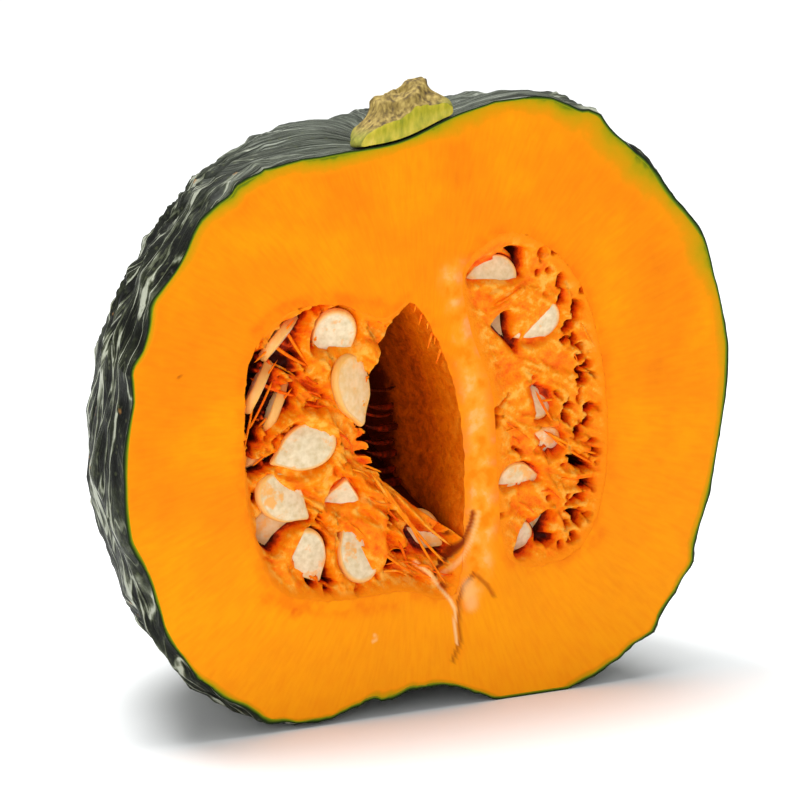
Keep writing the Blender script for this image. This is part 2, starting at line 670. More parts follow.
rightPits = (
    (32.3, 37.5, 1.2, 1.6, 0, 4), (35.3, 37.8, 0.8, 0.8, 0, 4), (31.4, 32.4, 0.6, 0.7, 0, 4),
    (34.6, 33, 0.8, 0.8, 0, 4), (37.9, 30.2, 1, 2.2, 8, 8), (38.5, 25.9, 1, 2.3, -22, 8),
    (43.6, 29.8, 0.6, 0.9, 0, 4), (43.6, 27.6, 1, 0.8, 0, 4), (42.3, 23.7, 1.5, 1.7, -30, 9),
    (42.5, 20.9, 1.1, 2.2, -12, 6), (40.6, 18.6, 2, 1.4, 30, 9), (39.6, 15.3, 1.4, 0.9, 20, 7),
    (42.1, 15.3, 1, 1.3, 0, 7), (44.3, 10.7, 1.4, 0.9, 10, 8), (43.9, 13.3, 0.8, 1.3, 20, 6),
    (45.9, 8.8, 1.2, 1.2, 30, 9), (43.6, 7.3, 1, 1.3, 0, 6), (45.1, 5.2, 1.8, 1.4, 20, 10),
    (35.5, 22.2, 0.5, 2.2, -20, 6), (33.9, 26.5, 1, 1, 0, 4), (31.6, 5.8, 1.9, 0.7, -35, 6),
    (32.6, 2.8, 1.8, 0.7, -40, 7), (25.3, 33.3, 1, 1.2, 30, 5), (22.5, 31.8, 1.8, 0.5, 5, 3),
    (40.6, -1.2, 1.9, 0.8, 0, 8), (47, -2.3, 1.9, 1.6, 20, 5), (44.1, 1, 0.5, 2, -8, 5),
    (40, -3.9, 1, 2.1, 35, 7), (43.5, -8.1, 1.4, 2, -15, 11), (46.2, -5.8, 1.4, 0.8, 30, 7),
    (33.9, -2.4, 1, 1.7, 25, 9), (32.9, -4.2, 1.9, 0.9, 10, 9), (35.8, -4, 0.8, 0.8, 0, 6),
    (19, -4, 2.1, 1.2, 30, 9), (19.3, -1.3, 0.6, 2, -20, 5), (48, -13.6, 1.5, 1, -10, 10),
    (47.4, -10.7, 1.8, 0.5, 0, 5), (44, -15.9, 3.8, 1.7, -24, 10), (35.2, -13.2, 0.9, 2, 20, 8),
    (33, -11.4, 1.9, 0.9, 20, 8), (31.5, -19, 1.5, 0.7, -35, 7), (46, -21.7, 2.1, 1.3, -5, 11),
    (43.4, -24.8, 2.2, 1, 12, 8), (40.2, -24.2, 0.8, 0.7, 0, 6), (40.3, -26, 0.8, 0.7, 0, 6),
    (43.8, -29.7, 1.9, 2, 25, 10), (41.8, -28.2, 1.4, 0.9, -20, 6), (40, -31.4, 1.1, 1, 0, 9),
    (41.7, -34.9, 1.5, 1.3, 30, 8), (38.6, -36.2, 0.8, 0.9, 0, 6), (31.6, -32.6, 1.5, 1, -20, 8),
    (35, -34.8, 2.8, 1.2, 12, 4), (35.3, -24.4, 0.8, 0.7, 0, 4), (24.8, -20.6, 3, 0.5, 6, 4),
    (19.8, -27.2, 2, 0.5, 10, 4), (29, -14.7, 3, 0.7, -42, 4), (27.9, -12.6, 2.8, 0.7, -38, 4),
    (38, 1.5, 0.6, 1.6, 40, 4), (21.6, 1, 2.4, 0.5, 40, 3), (26, -23.5, 2, 0.4, 20, 2),
)
# strings in the open: start (x, z, depth), end (x, z, depth), the radius at both, darkness
leftStrands = (
    (-12.5, 2.6, 9, 3.8, -1.6, 24, 0.2, 1.1, 0.82), (-12.5, 0.4, 9, 3.4, -3.6, 24, 0.3, 0.6, 0.8),
    (-12.5, -2.6, 9, 4.6, -6.8, 24, 0.2, 1.5, 0.84), (-12.5, -6.4, 9, 3.6, -10.4, 24, 0.3, 0.7, 0.8),
    (-12, -9.2, 9, 4.4, -13.4, 24, 0.2, 1.4, 0.82), (-12, -13.2, 9, 4.2, -17.6, 24, 0.2, 1.2, 0.84),
    (-12, -16, 9, 5.6, -21, 24, 0.2, 1.6, 0.8), (-12.5, 6.4, 9, 4, 3, 24, 0.25, 0.5, 0.94),
    (-2.8, 27.4, 0.6, -3, 25.2, 1.4, 0.4, 0.1, 0.1), (-1.2, 25.2, 0.6, -1.6, 22, 1.6, 0.45, 0.1, 0.2),
    (0.4, 22.8, 0.6, 0.6, 21, 1.2, 0.35, 0.1, 0.1), (1.6, 20.6, 0.6, 1, 15.8, 2, 0.5, 0.1, 0.2),
    (2.4, 19.2, 0.6, 2.6, 17, 1.4, 0.35, 0.1, 0.1), (4, 16.4, 0.6, 3.2, 12, 1.8, 0.5, 0.1, 0.2),
    (-44.4, 16, 4, -33.6, 26.4, 3, 0.3, 0.3, 0.1), (-47.6, 6, 4, -38, 16.4, 4, 0.35, 0.25, 0.2),
    (-45.6, -0.4, 5, -38.8, 11.5, 5, 0.3, 0.3, 0.2), (-46.8, -5.2, 5, -44, 6.6, 5, 0.3, 0.3, 0.1),
    (-42.6, 0, 6, -34, 9.6, 4, 0.35, 0.25, 0.2), (-37, -3, 5, -44.6, -9, 5, 0.3, 0.25, 0.1),
    (-26.4, 17, 3, -28.6, 11.6, 3, 0.25, 0.2, 0), (-24.8, 16.6, 3, -22.4, 9.8, 2.5, 0.25, 0.2, 0),
    (-40, 21, 6, -30, 14, 4, 0.5, 0.35, 0.2), (-36, 24, 5, -28, 12, 4, 0.45, 0.35, 0.2),
    (-44, 12, 7, -33, 7, 4, 0.45, 0.35, 0.3), (-15, -12.2, 1.6, 3.4, -34.6, 1.8, 0.5, 0.3, 0),
    (-12, -15.4, 1.4, 6.7, -38.4, 1.6, 0.5, 0.3, 0.1), (-8.8, -17.6, 1.6, 8, -33.6, 2.2, 0.4, 0.3, 0),
    (-20, -24.6, 2.6, -2, -39.8, 1.4, 0.45, 0.3, 0.1), (-6.2, -22.2, 1.4, 6.4, -43.4, 1.2, 0.4, 0.25, 0.1),
    (-22, -30, 5, -12, -40, 3, 0.5, 0.3, 0.2),
)
rightStrands = (
    (33.3, -6.9, 1.6, 50.1, -14.8, 1.4, 0.45, 0.3, 0.1), (35.5, -8.6, 1.8, 49.9, -17.6, 1.6, 0.4, 0.3, 0.2),
    (37.4, -27.7, 1.4, 41.5, -36, 1.2, 0.4, 0.25, 0.1),
    (38.3, -19.5, 1.6, 49.2, -19.5, 1.4, 0.35, 0.3, 0.1), (31, 3.4, 1.6, 38.3, -7.9, 1.8, 0.4, 0.3, 0.2),
    (19, 25.3, 1.2, 26.8, 29.4, 1.2, 0.4, 0.3, 0.2),
)
# raised strings: half width, lift, and the line that each follows
leftCords = (
    (1.6, 2.6, ((-20.7, -11.7), (-17.7, -14.3), (-14.7, -17.4), (-10.3, -20.2), (-5.5, -22.3),
    (-1.2, -24.7), (2.8, -27.2))), (1.2, 2, ((-15.5, -20.8), (-11.2, -24.4), (-7.7, -28), (-4.7, -32.3),
    (-2.5, -35.7), (1.5, -39.8), (5.1, -44.2))),
    (0.9, 2.2, ((5.5, -23.5), (7.2, -27.3), (4.6, -31.8), (0.6, -34.5), (-2, -35))),
    (2.6, 3, ((-19, 28), (-17, 20), (-13, 14), (-12.5, 8))), (2, 2.6, ((-28, 20), (-24, 10), (-21, 4))),
    (1.4, 2.4, ((-38, 13), (-32, 8), (-27, 3), (-24, -3), (-22, -9))),
    (1, 1.8, ((-23, -9), (-21.8, -14), (-19, -19))),
    (0.9, 1.8, ((-24.3, -22), (-24, -28), (-23.6, -34), (-22, -41))),
    (0.8, 1.6, ((-28.4, -24), (-28, -28), (-27.6, -40))), (0.8, 1.4, ((-44, -12), (-40, -9), (-36, -10))),
)
rightCords = (
    (1, 1.6, ((31.8, -6.9), (37.3, -9), (43.1, -11.5), (49.8, -15.2))),
    (0.8, 1.4, ((33, -5), (38.7, -7.8), (45.9, -10.3), (49.7, -12.2))),
    (0.9, 1.6, ((36.3, -27.1), (38.1, -30.3), (41, -36))),
    (0.8, 1.4, ((38, -21.2), (39.5, -24.9), (41.5, -28.1))),
    (0.8, 1.2, ((31.5, 1.1), (35.2, -4.2), (39, -9.6), (40.8, -14.4))),
    (0.8, 1.2, ((29.2, 5.1), (33.8, -0.3), (37.2, -5.7))),
    (0.9, 1.2, ((25.9, -12.1), (31.6, -16), (36, -21), (38.6, -26))),
    (0.8, 1.2, ((38.8, -18.2), (43.2, -19.4), (49, -19.2))),
    (0.8, 1.2, ((39.2, -22.8), (43.2, -23), (48.4, -23.2))),
    (0.8, 1.2, ((39.8, -26.9), (43.3, -27), (47.3, -26.4))),
    (0.8, 1.2, ((40.4, -32.6), (43.3, -32.4), (46.2, -30.4))),
    (1, 1.4, ((17.8, 27), (21.4, 29.2), (25.6, 30.6))), (0.8, 1.2, ((18.6, 24), (22.8, 25.9), (27, 28.8))),
    (1.2, 1.6, ((11.6, 30.9), (17.2, 31), (22.2, 30.8))),
    (0.7, 1.2, ((40.2, 12.4), (42.2, 12.7), (43.9, 11.8))),
    (0.7, 1.2, ((38.6, 29.2), (40.3, 25.8), (39.8, 21.9))),
    (0.8, 1, ((26, -26), (23.2, -28.2), (19.8, -28.6))),
    (0.7, 1, ((20.3, -12.8), (24.5, -12), (28.8, -14.7), (31.6, -17))),
)
pulpPiece = {
    "cell": 0.45 * mm,
    "overlap": 0.35 * mm,
    "nest": -0.5 * mm,  # how far behind its middle a seed's bed lies
    "least": 0.14 * mm,
    "stringWander": 32,
    "stringLength": (5, 11),
    "stringRadius": (0.22 * mm, 0.42 * mm),
}


def deepestFirst(seeds):  # so that a near seed keeps its own bed
    return sorted(seeds, key=lambda entry: -entry[2])


pulpSides = {
    "left": {
        "corner": (-53, -50), "farCorner": (16, 34), "shore": 4.0 * mm,
        "recess": 3.0 * mm, "strings": 3.4 * mm, "lumps": 1.4 * mm,
        "flow": -38, "looseStrings": 130, "looseX": (-47, 2), "looseZ": (-40, 27),
        "outline": fleshPiece["leftHollow"], "reach": fleshPiece["leftDepth"], "void": True,
        "pits": leftPits, "cords": leftCords, "strands": leftStrands, "seeds": deepestFirst(leftSeeds),
    },
    "right": {
        "corner": (6, -46), "farCorner": (56, 46), "shore": 6.0 * mm,
        "recess": 1.5 * mm, "strings": 1.3 * mm, "lumps": 0.5 * mm,
        "flow": -32, "looseStrings": 26, "looseX": (14, 48), "looseZ": (-36, 38),
        "outline": fleshPiece["rightHollow"], "reach": fleshPiece["rightDepth"], "void": False,
        "pits": rightPits, "cords": rightCords, "strands": rightStrands, "seeds": deepestFirst(rightSeeds),
    },
}


def turned(x, z, angle):  # how far a place lies along and across a heading
    return x * math.cos(angle) + z * math.sin(angle), z * math.cos(angle) - x * math.sin(angle)


def pulpStrings(x, z, flow):
    length, across = turned(x, z, math.radians(flow))
    spot = Vector((-across * 330, length * 95, 7.0))
    bent = spot + Vector((noise.noise(spot * 0.5) * 1.4, 0, 0))
    return abs(noise.noise(bent)) + 0.5 * abs(noise.noise(bent * 2.3)) + 0.22 * abs(noise.noise(bent * 5.1))


def sinkPits(x, z, pits):
    depth = pitShare = 0.0
    for px, pz, halfX, halfZ, turn, deep in pits:
        offsetX, offsetZ = x - px * mm, z - pz * mm
        if abs(offsetX) > 14 * mm or abs(offsetZ) > 14 * mm:
            continue
        lengthwise, sidewise = turned(offsetX, offsetZ, math.radians(turn))
        wobble = 1 + 0.65 * noise.noise(Vector((x * 700, z * 700, 1.0)))
        share = 1 - ease(0.55, 1.15, math.hypot(lengthwise / (halfX * mm), sidewise / (halfZ * mm)) * wobble)
        depth += deep * mm * share * (1 - pitShare * 0.5)
        pitShare = max(pitShare, share)
    return depth


def cordLift(x, z, cords):
    lift = 0.0
    for width, height, line in cords:
        distance = lineDistance(x, z, line)
        if distance < width * mm:
            lift = max(lift, height * mm * math.sqrt(1 - (distance / (width * mm)) ** 2))
    return lift


def bedSeeds(x, z, depth, seeds):  # deepen the pulp in front of each seed, and raise it where it covers one
    for seedX, seedZ, behind, heading, roll, _, scale, coverTurn, cover, _ in seeds:
        offsetX, offsetZ = x - seedX * mm, z - seedZ * mm
        half = seedPiece["length"] * scale / 2
        reach = math.hypot(offsetX, offsetZ) / half
        if reach > 2:
            continue
        lengthwise, sidewise = turned(offsetX, offsetZ, math.radians(heading))
        narrow = 0.62 * max(math.cos(math.radians(roll)), 0.3) + 0.12
        sunk = 1 - ease(0.9, 1.2, math.hypot(lengthwise / half, sidewise / (half * narrow)))
        if cover:
            toward = turned(offsetX, offsetZ, math.radians(coverTurn))[0] / half
            sunk *= 1 - ease(0.62 - 2 * cover, 1.1 - 2 * cover, toward)
        depth = mix(depth, max(depth, behind * mm + pulpPiece["nest"]), sunk)
        if cover:
            covered = (1 - ease(0.9, 1.25, reach)) * (1 - sunk)
            depth = mix(depth, min(depth, (behind - 2.6) * mm), covered)
    return depth


def pulpDepth(x, z, side):
    lumps = noise.noise(Vector((x * 120, z * 120, 3.0)))
    strings = pulpStrings(x, z, side["flow"]) - 0.25
    relief = side["recess"] + side["strings"] * strings + side["lumps"] * lumps
    inland = ease(0.0, side["shore"], side["tree"].find((x, z, 0))[2])
    depth = pulpPiece["least"] + inland * relief
    depth += sinkPits(x, z, side["pits"]) - cordLift(x, z, side["cords"]) * inland
    return max(bedSeeds(x, z, depth, side["seeds"]), pulpPiece["least"])


def addStrand(bm, start, end, radii, bend, darkness):  # one tapered string between two points
    verts = bmesh.ops.create_grid(bm, x_segments=6, y_segments=9, size=0.5)["verts"]
    deep, thread = bm.verts.layers.float["deep"], bm.verts.layers.float["thread"]
    line = (end - start).normalized()
    side = line.cross(Vector((0, 1, 0))).normalized()
    out = line.cross(side)
    for vert in verts:
        turn, share = math.tau * (vert.co.x + 0.5), vert.co.y + 0.5
        radius = mix(radii[0], radii[1], share) * min(1.0, 9 * share * (1 - share))
        centre = start.lerp(end, share) + bend * math.sin(math.pi * share)
        vert.co = centre + radius * (math.cos(turn) * side + math.sin(turn) * out)
        vert[deep] = darkness
        vert[thread] = 0.5


def pointInside(x, z, outline):
    inside = False
    for (ax, az), (bx, bz) in zip(outline, outline[1:] + outline[:1]):
        if (az > z) != (bz > z) and x < (bx - ax) * (z - az) / (bz - az) + ax:
            inside = not inside
    return inside


def addStrands(bm, side):
    before = len(bm.verts)

    def spot(x, z, behind):
        return Vector((middle.x + x * mm, cutY + behind * mm, middle.z + z * mm))

    def onPulp(x, z):
        return spot(x, z, pulpDepth(x * mm, z * mm, side) / mm + 0.3)

    for x, z, behind, endX, endZ, endBehind, radius, endRadius, darkness in side["strands"]:
        start, end = spot(x, z, behind), spot(endX, endZ, endBehind)
        sag = Vector((0, 0, -0.04 * (end - start).length))
        addStrand(bm, start, end, (radius * mm, endRadius * mm), sag, darkness)
    draws = random.Random(side["flow"])
    wander = pulpPiece["stringWander"]
    for index in range(side["looseStrings"]):
        x, z = draws.uniform(*side["looseX"]), draws.uniform(*side["looseZ"])
        flow = math.radians(side["flow"] + draws.uniform(-wander, wander))
        length = draws.uniform(*pulpPiece["stringLength"])
        endX, endZ = x + length * math.cos(flow), z + length * math.sin(flow)
        radius = draws.uniform(*pulpPiece["stringRadius"])
        inside = pointInside(x, z, side["outline"]) and pointInside(endX, endZ, side["outline"])
        midX, midZ = (x + endX) / 2, (z + endZ) / 2
        onSeed = any(math.hypot(midX - seed[0], midZ - seed[1]) < 9 * seed[6] for seed in side["seeds"])
        if onSeed or not inside or (side["void"] and pointInside(midX, midZ, voidPiece["outline"])):
            continue
        start, end = onPulp(x, z), onPulp(endX, endZ)
        level = (start.y + end.y) / 2
        rise = min(0.0, pulpDepth(midX * mm, midZ * mm, side) + cutY - 0.2 * mm - level)
        rise = max(rise, cutY + 0.4 * mm - level)
        bend = Vector((draws.uniform(-1, 1) * mm, rise, draws.uniform(-1, 1) * mm))
        addStrand(bm, start, end, (radius, radius * 0.6), bend, draws.uniform(0.0, 0.35))
    bm.verts.ensure_lookup_table()
    mergeSeam(bm, bm.verts[before:])
    bmesh.ops.recalc_face_normals(bm, faces=bm.faces[:])


def buildPulp(name, side, material, node):
    low, high = side["corner"], side["farCorner"]
    width, height = high[0] - low[0], high[1] - low[1]
    cells = [round(length * mm / pulpPiece["cell"]) for length in (width, height)]
    bm = bmesh.new()
    bmesh.ops.create_grid(bm, x_segments=cells[0], y_segments=cells[1], size=0.5)
    block = bmesh.ops.extrude_face_region(bm, geom=bm.faces[:])
    back = {item for item in block["geom"] if isinstance(item, bmesh.types.BMVert)}
    for vert in bm.verts:
        x = (low[0] + width * (vert.co.x + 0.5)) * mm
        z = (low[1] + height * (vert.co.y + 0.5)) * mm
        behind = 80 * mm if vert in back else pulpDepth(x, z, side)
        vert.co = (middle.x + x, cutY + behind, middle.z + z)
    turnOut(bm)
    tools = [(hollowDome(side["outline"], side["reach"], pulpPiece["overlap"], 120, 36, 0, 0), "INTERSECT")]
    if side["void"]:
        tools.append((voidDome(), "DIFFERENCE"))
    bm = combine(bm, tools)
    deep, thread, shore, crease, fold = newLayers(bm, "deep", "thread", "shore", "crease", "fold")
    for vert in bm.verts:
        x, behind, z = fromCut(vert)
        vert[deep] = ease(side["recess"] + 0.2 * mm, side["recess"] + 6.5 * mm, behind)
        vert[thread] = 1 - min(pulpStrings(x, z, side["flow"]) / 0.5, 1.0)
        distance = side["tree"].find((x, z, 0))[2]
        vert[shore] = (1 - ease(0.5 * mm, 3.5 * mm, distance)) * (1 - ease(0.6 * mm, 2.6 * mm, behind))
        if behind < 9 * mm:
            vert[crease] = drawnMark(x, z, darkLines)
            vert[fold] = drawnMark(x, z, paleLines)
    addStrands(bm, side)
    finishPiece(name, bm, [material], node)


# Open space in the left hollow, with ribs where the pulp tore

voidPiece = {
    "outline": (
        (-3, 29), (12, 20), (20, -2), (21, -20), (15, -33),
        (6, -28.5), (-3, -22), (-13, -12), (-16, 2), (-13.5, 14),
    ),
    "depth": 36 * mm,
    "rib": 5.76 * mm,
    "ribStep": 3.4 * mm,
}


def voidDome():
    bm = hollowDome(voidPiece["outline"], voidPiece["depth"], 0, 260, 120, 0.25 * mm, 4)
    for vert in bm.verts:
        x, behind, z = fromCut(vert)
        leftSide = 1 - ease(-15 * mm, -6 * mm, x)
        level = ease(-30 * mm, -24 * mm, z) * (1 - ease(14 * mm, 20 * mm, z))
        reach = ease(2 * mm, 6 * mm, behind) * (1 - ease(14 * mm, 20 * mm, behind))
        wander = 1.2 * mm * noise.noise(Vector((z * 150, behind * 120, 2.0)))
        rib = 0.5 - 0.5 * math.cos(math.tau * (z + wander) / voidPiece["ribStep"])
        vert.co.x -= voidPiece["rib"] * ease(0.35, 0.8, rib) * leftSide * level * reach
    return bm


# Stem: dry corky stump on the skin, its flared foot sliced by the knife

stemPiece = {
    "place": Vector((1.6 * mm, -6.5 * mm, 0.0)),
    "profile": (  # radius and height
        (0, 0.4), (9.5, 0.4), (12.6, 0.4), (13.0, 1.5), (12.1, 3.7), (10.1, 5.7), (8.1, 7.7),
        (7.0, 9.5), (6.4, 11.2), (3.8, 11.8), (0, 11.8),
    ),
    "squash": 0.8,
    "tilt": Vector((0.22, 0.48, 0.0)),
    "ribs": 5,
    "ribHeight": 0.12,
    "slant": 0.16,
    "brokenTop": 0.9 * mm,
    "sides": 150,
    "layers": 54,
}


def skinHeight(x, y):  # height of the skin over a place near the top
    reach = math.hypot(x, y)
    turn = math.atan2(y, x)
    height = topReach
    for step in range(4):
        radius = skinRadius(math.atan2(reach, height), turn)
        height = math.sqrt(radius ** 2 - reach ** 2)
    return height


def buildStem(corkMaterial, sliceMaterial):
    bm = bmesh.new()
    line = []
    for index in range(stemPiece["layers"] + 1):
        spot = index / stemPiece["layers"] * (len(stemPiece["profile"]) - 1)
        radius, height = [along([point[axis] for point in stemPiece["profile"]], spot) for axis in (0, 1)]
        line.append(bm.verts.new((max(radius, 0.0) * mm, 0, height * mm)))
    for pair in zip(line, line[1:]):
        bm.edges.new(pair)
    bmesh.ops.spin(
        bm, geom=bm.verts[:] + bm.edges[:], cent=(0, 0, 0), axis=(0, 0, 1),
        angle=math.tau, steps=stemPiece["sides"], use_merge=True,
    )
    bmesh.ops.remove_doubles(bm, verts=bm.verts[:], dist=0.02 * mm)
    [rising] = newLayers(bm, "rising")
    for vert in bm.verts:
        flatHeight = vert.co.z
        rise = ease(1 * mm, 9 * mm, flatHeight)
        turn = math.atan2(vert.co.y, vert.co.x)
        side, front = math.cos(turn), math.sin(turn)
        rib = 1 + rise * stemPiece["ribHeight"] * math.cos(stemPiece["ribs"] * turn + 0.6)
        fibre = noise.noise(Vector((side * 9, front * 9, flatHeight * 160)))
        lump = noise.noise(Vector((side * 3.2, front * 3.2, flatHeight * 110)))
        swell = 1 + ease(0.6 * mm, 2.2 * mm, flatHeight) * (0.05 * fibre + 0.10 * lump * rise)
        vert.co.x *= rib * swell
        vert.co.y *= rib * swell * stemPiece["squash"]
        vert.co += stemPiece["tilt"] * flatHeight
        vert.co.z += rise * (stemPiece["slant"] * vert.co.x + 0.8 * mm * math.cos(2 * turn))
        broken = ease(9.5 * mm, 12.4 * mm, flatHeight) * stemPiece["brokenTop"]
        vert.co.z += broken * (noise.noise(vert.co * 420) + 0.6 * noise.noise(vert.co * 900))
        vert.co += stemPiece["place"]
        foot = skinHeight(vert.co.x, vert.co.y) - topReach
        vert.co.z += topReach + foot * (1 - 0.6 * rise)
        vert[rising] = flatHeight / (11 * mm)
        vert.co = place(vert.co)
    cut = trimFront(bm)
    rim = [item for item in cut["geom_cut"] if isinstance(item, bmesh.types.BMEdge)]
    known = set(bm.faces)
    bmesh.ops.triangle_fill(bm, edges=rim, use_beauty=True)
    for face in bm.faces:
        if face not in known:
            face.material_index = 1
    turnOut(bm)
    finishPiece("stem_cork", bm, [corkMaterial, sliceMaterial], "stem")


# Materials

smooth = {"interpolation_type": "SMOOTHSTEP"}
colourMix = {"data_type": "RGBA"}


def layColours(add, base, *layers):  # lay colours over a base one after another, each by its share
    for share, colour in layers:
        base = add("Mix", {0: share, 6: base, 7: colour}, colourMix)
    return base


def makeRindSkin():
    # kabocha skin, grown and waxy: near-black green grooves, light grey satin crests, paler round the stem
    material, add, shader = newMaterial("waxy kabocha skin")
    ridge, wart, swing, down = readAttributes(add, "ridge", "wart", "swing", "down")
    coords = add("TexCoord")
    spread, fall = add("Math", [swing, 15.0], "MULTIPLY"), add("Math", [down, 2.6], "MULTIPLY")
    spot = add("CombineXYZ", [spread, fall])
    wander = add("TexNoise", {"Vector": spot, "Scale": 0.6, "Detail": 2.0}, output="Color")
    swerve = add("VectorMath", [wander, (3.0, 1.0, 0.0), spot], "MULTIPLY_ADD")
    both = 0.0
    for scale, width, share in ((1.0, 0.055, 0.42), (2.3, 0.05, 0.20)):  # broad crests, then finer ones
        crestNoise = add("TexNoise", {"Vector": swerve, "Scale": scale, "Detail": 1.0})
        near = add("Math", [add("Math", [crestNoise, 0.5], "SUBTRACT")], "ABSOLUTE")
        crest = add("MapRange", [near, 0.0, width, 1.0, 0.0], smooth)
        both = add("Math", [crest, share, both], "MULTIPLY_ADD")
    mottle = add("TexNoise", {"Vector": coords, "Scale": 260.0, "Detail": 6.0, "Roughness": 0.65})
    whole = add("Math", [ridge, 0.36, both], "MULTIPLY_ADD")
    level = add("Math", [mottle, 0.7, whole], "MULTIPLY_ADD")
    body = add("ValToRGB", [level], ramp=[
        (0.37, "#050602"), (0.52, "#10130a"), (0.66, "#2a2e1e"), (0.8, "#5c604d"), (0.96, "#a8ab99"),
    ])
    streakSpot = add("VectorMath", [swerve, (3.0, 0.8, 1.0)], "MULTIPLY")
    streak = add("TexNoise", {"Vector": streakSpot, "Scale": 1.0, "Detail": 5.0, "Roughness": 0.65})
    pale = add("ValToRGB", [streak], ramp=[
        (0.36, "#0c0f09"), (0.47, "#383d32"), (0.56, "#6f7568"), (0.66, "#b4b8aa"),
    ])
    topShare = add("MapRange", [down, 0.25, 0.85, 0.9, 0.0], smooth)
    speckle = add("TexVoronoi", {"Vector": coords, "Scale": 420.0})
    fleck = add("MapRange", [speckle, 0.12, 0.26, 0.35, 0.0])
    scar = add("MapRange", [wart, 0.35, 0.8, 0.0, 0.85])
    grain = add("TexNoise", {"Vector": coords, "Scale": 900.0, "Detail": 4.0})
    fibred = add("Math", [streak, 0.5, both], "MULTIPLY_ADD")
    relief = add("Math", [grain, 0.25, fibred], "MULTIPLY_ADD")
    setInputs(shader, {
        "IOR": 1.45, "Specular IOR Level": 0.14,
        "Base Color": layColours(add, body, (topShare, pale), (fleck, "#555a3c"), (scar, "#a8763c")),
        "Roughness": add("MapRange", [level, 0.3, 0.9, 0.62, 0.36]),
        "Normal": add("Bump", {"Strength": 0.9, "Distance": 0.9 * mm, "Height": relief}),
    })
    return material


def makeRindEdge():
    # sliced skin, the thin green line round the cut: dark outside, olive yellow at the flesh
    material, add, shader = newMaterial("sliced kabocha skin")
    [depth] = readAttributes(add, "depth")
    colours = add("ValToRGB", [depth], ramp=[
        (0.0, "#101c06"), (0.35, "#20340a"), (0.7, "#5c7404"), (1.0, "#a0a004"),
    ])
    setInputs(shader, {"Base Color": colours, "Roughness": 0.5, "IOR": 1.4, "Specular IOR Level": 0.15})
    return material


def makeFlesh():
    # moist squash flesh, knife cut: even orange, olive under the skin, faint fibres
    material, add, shader = newMaterial("moist cut squash flesh")
    depth, green, pale, crease, fold, red, swing = readAttributes(
        add, "depth", "green", "pale", "crease", "fold", "red", "swing")
    coords = add("TexCoord")
    cloud = add("TexNoise", {"Vector": coords, "Scale": 45.0, "Detail": 5.0, "Roughness": 0.6})
    mottle = add("TexNoise", {"Vector": coords, "Scale": 260.0, "Detail": 5.0})
    spread, fall = add("Math", [swing, 60.0], "MULTIPLY"), add("Math", [depth, 1.6], "MULTIPLY")
    fibreSpot = add("CombineXYZ", [spread, fall])
    fibre = add("TexNoise", {"Vector": fibreSpot, "Scale": 1.0, "Detail": 4.0})
    fibreTone = add("ValToRGB", [fibre], ramp=[(0.3, "#f0b070"), (0.6, "#ffffff")])
    body = add("ValToRGB", [cloud], ramp=[(0.3, "#f08200"), (0.5, "#fa8e00"), (0.7, "#ff9c00")])
    height = add("SeparateXYZ", [coords], output="Z")
    lowShare = add("MapRange", [height, 0.0, 80 * mm, 0.6, 0.0], smooth)
    ripened = layColours(add, body, (lowShare, "#ffa60a"))
    streaked = add("Mix", {0: 0.22, 6: ripened, 7: fibreTone}, colourMix | {"blend_type": "MULTIPLY"})
    paleTone = add("ValToRGB", [mottle], ramp=[
        (0.34, "#fb8400"), (0.47, "#ff9c20"), (0.58, "#ffa638"), (0.7, "#ffba6c"),
    ])
    unevenGreen = add("Math", [cloud, 1.8, green], "MULTIPLY_ADD")
    greenStop = add("Math", [unevenGreen, 0.9], "SUBTRACT")
    greenTone = add("ValToRGB", [greenStop], ramp=[
        (0.0, "#66790a"), (0.12, "#a69600"), (0.35, "#c89600"), (0.7, "#e29000"), (1.0, "#fa9000"),
    ])
    greenShare = add("MapRange", [greenStop, 0.62, 1.2, 1.0, 0.0], smooth)
    patchy = add("MapRange", [mottle, 0.4, 0.6, 0.2, 1.0])
    redShare = add("Math", [red, patchy], "MULTIPLY")
    grain = add("TexNoise", {"Vector": coords, "Scale": 1400.0, "Detail": 3.0})
    relief = add("Math", [fibre, 1.5, grain], "MULTIPLY_ADD")
    setInputs(shader, {
        "IOR": 1.38, "Specular IOR Level": 0.12,
        "Base Color": layColours(
            add, streaked, (pale, paleTone), (greenShare, greenTone), (redShare, "#ee6000"),
            (crease, "#9a3400"), (fold, "#ffc987"),
        ),
        "Roughness": add("MapRange", [cloud, 0.3, 0.7, 0.5, 0.66]),
        "Normal": add("Bump", {"Strength": 0.25, "Distance": 0.2 * mm, "Height": relief}),
    })
    return material


def makePulp(name, stops):
    # wet stringy pulp: bright orange on top, red brown in the pits
    material, add, shader = newMaterial(name)
    deep, thread, crease, fold, shore = readAttributes(add, "deep", "thread", "crease", "fold", "shore")
    coords = add("TexCoord")
    cloud = add("TexNoise", {"Vector": coords, "Scale": 420.0, "Detail": 6.0, "Roughness": 0.68})
    level = add("Math", [cloud, deep], "ADD")
    lifted = add("Math", [thread, -0.3, level], "MULTIPLY_ADD")
    colours = add("ValToRGB", [add("Math", [lifted, 0.22], "SUBTRACT")], ramp=stops)
    wet = add("MapRange", [cloud, 0.3, 0.7, 0.3, 0.55])
    setInputs(shader, {
        "IOR": 1.38, "Specular IOR Level": 0.18,
        "Base Color": layColours(add, colours, (shore, "#fb8a00"), (crease, "#8a2c00"), (fold, "#ffc987")),
        "Roughness": add("Math", [shore, 0.2, wet], "MULTIPLY_ADD"),
        "Normal": add("Bump", {"Strength": 0.8, "Distance": 0.8 * mm, "Height": cloud}),
    })
    return material


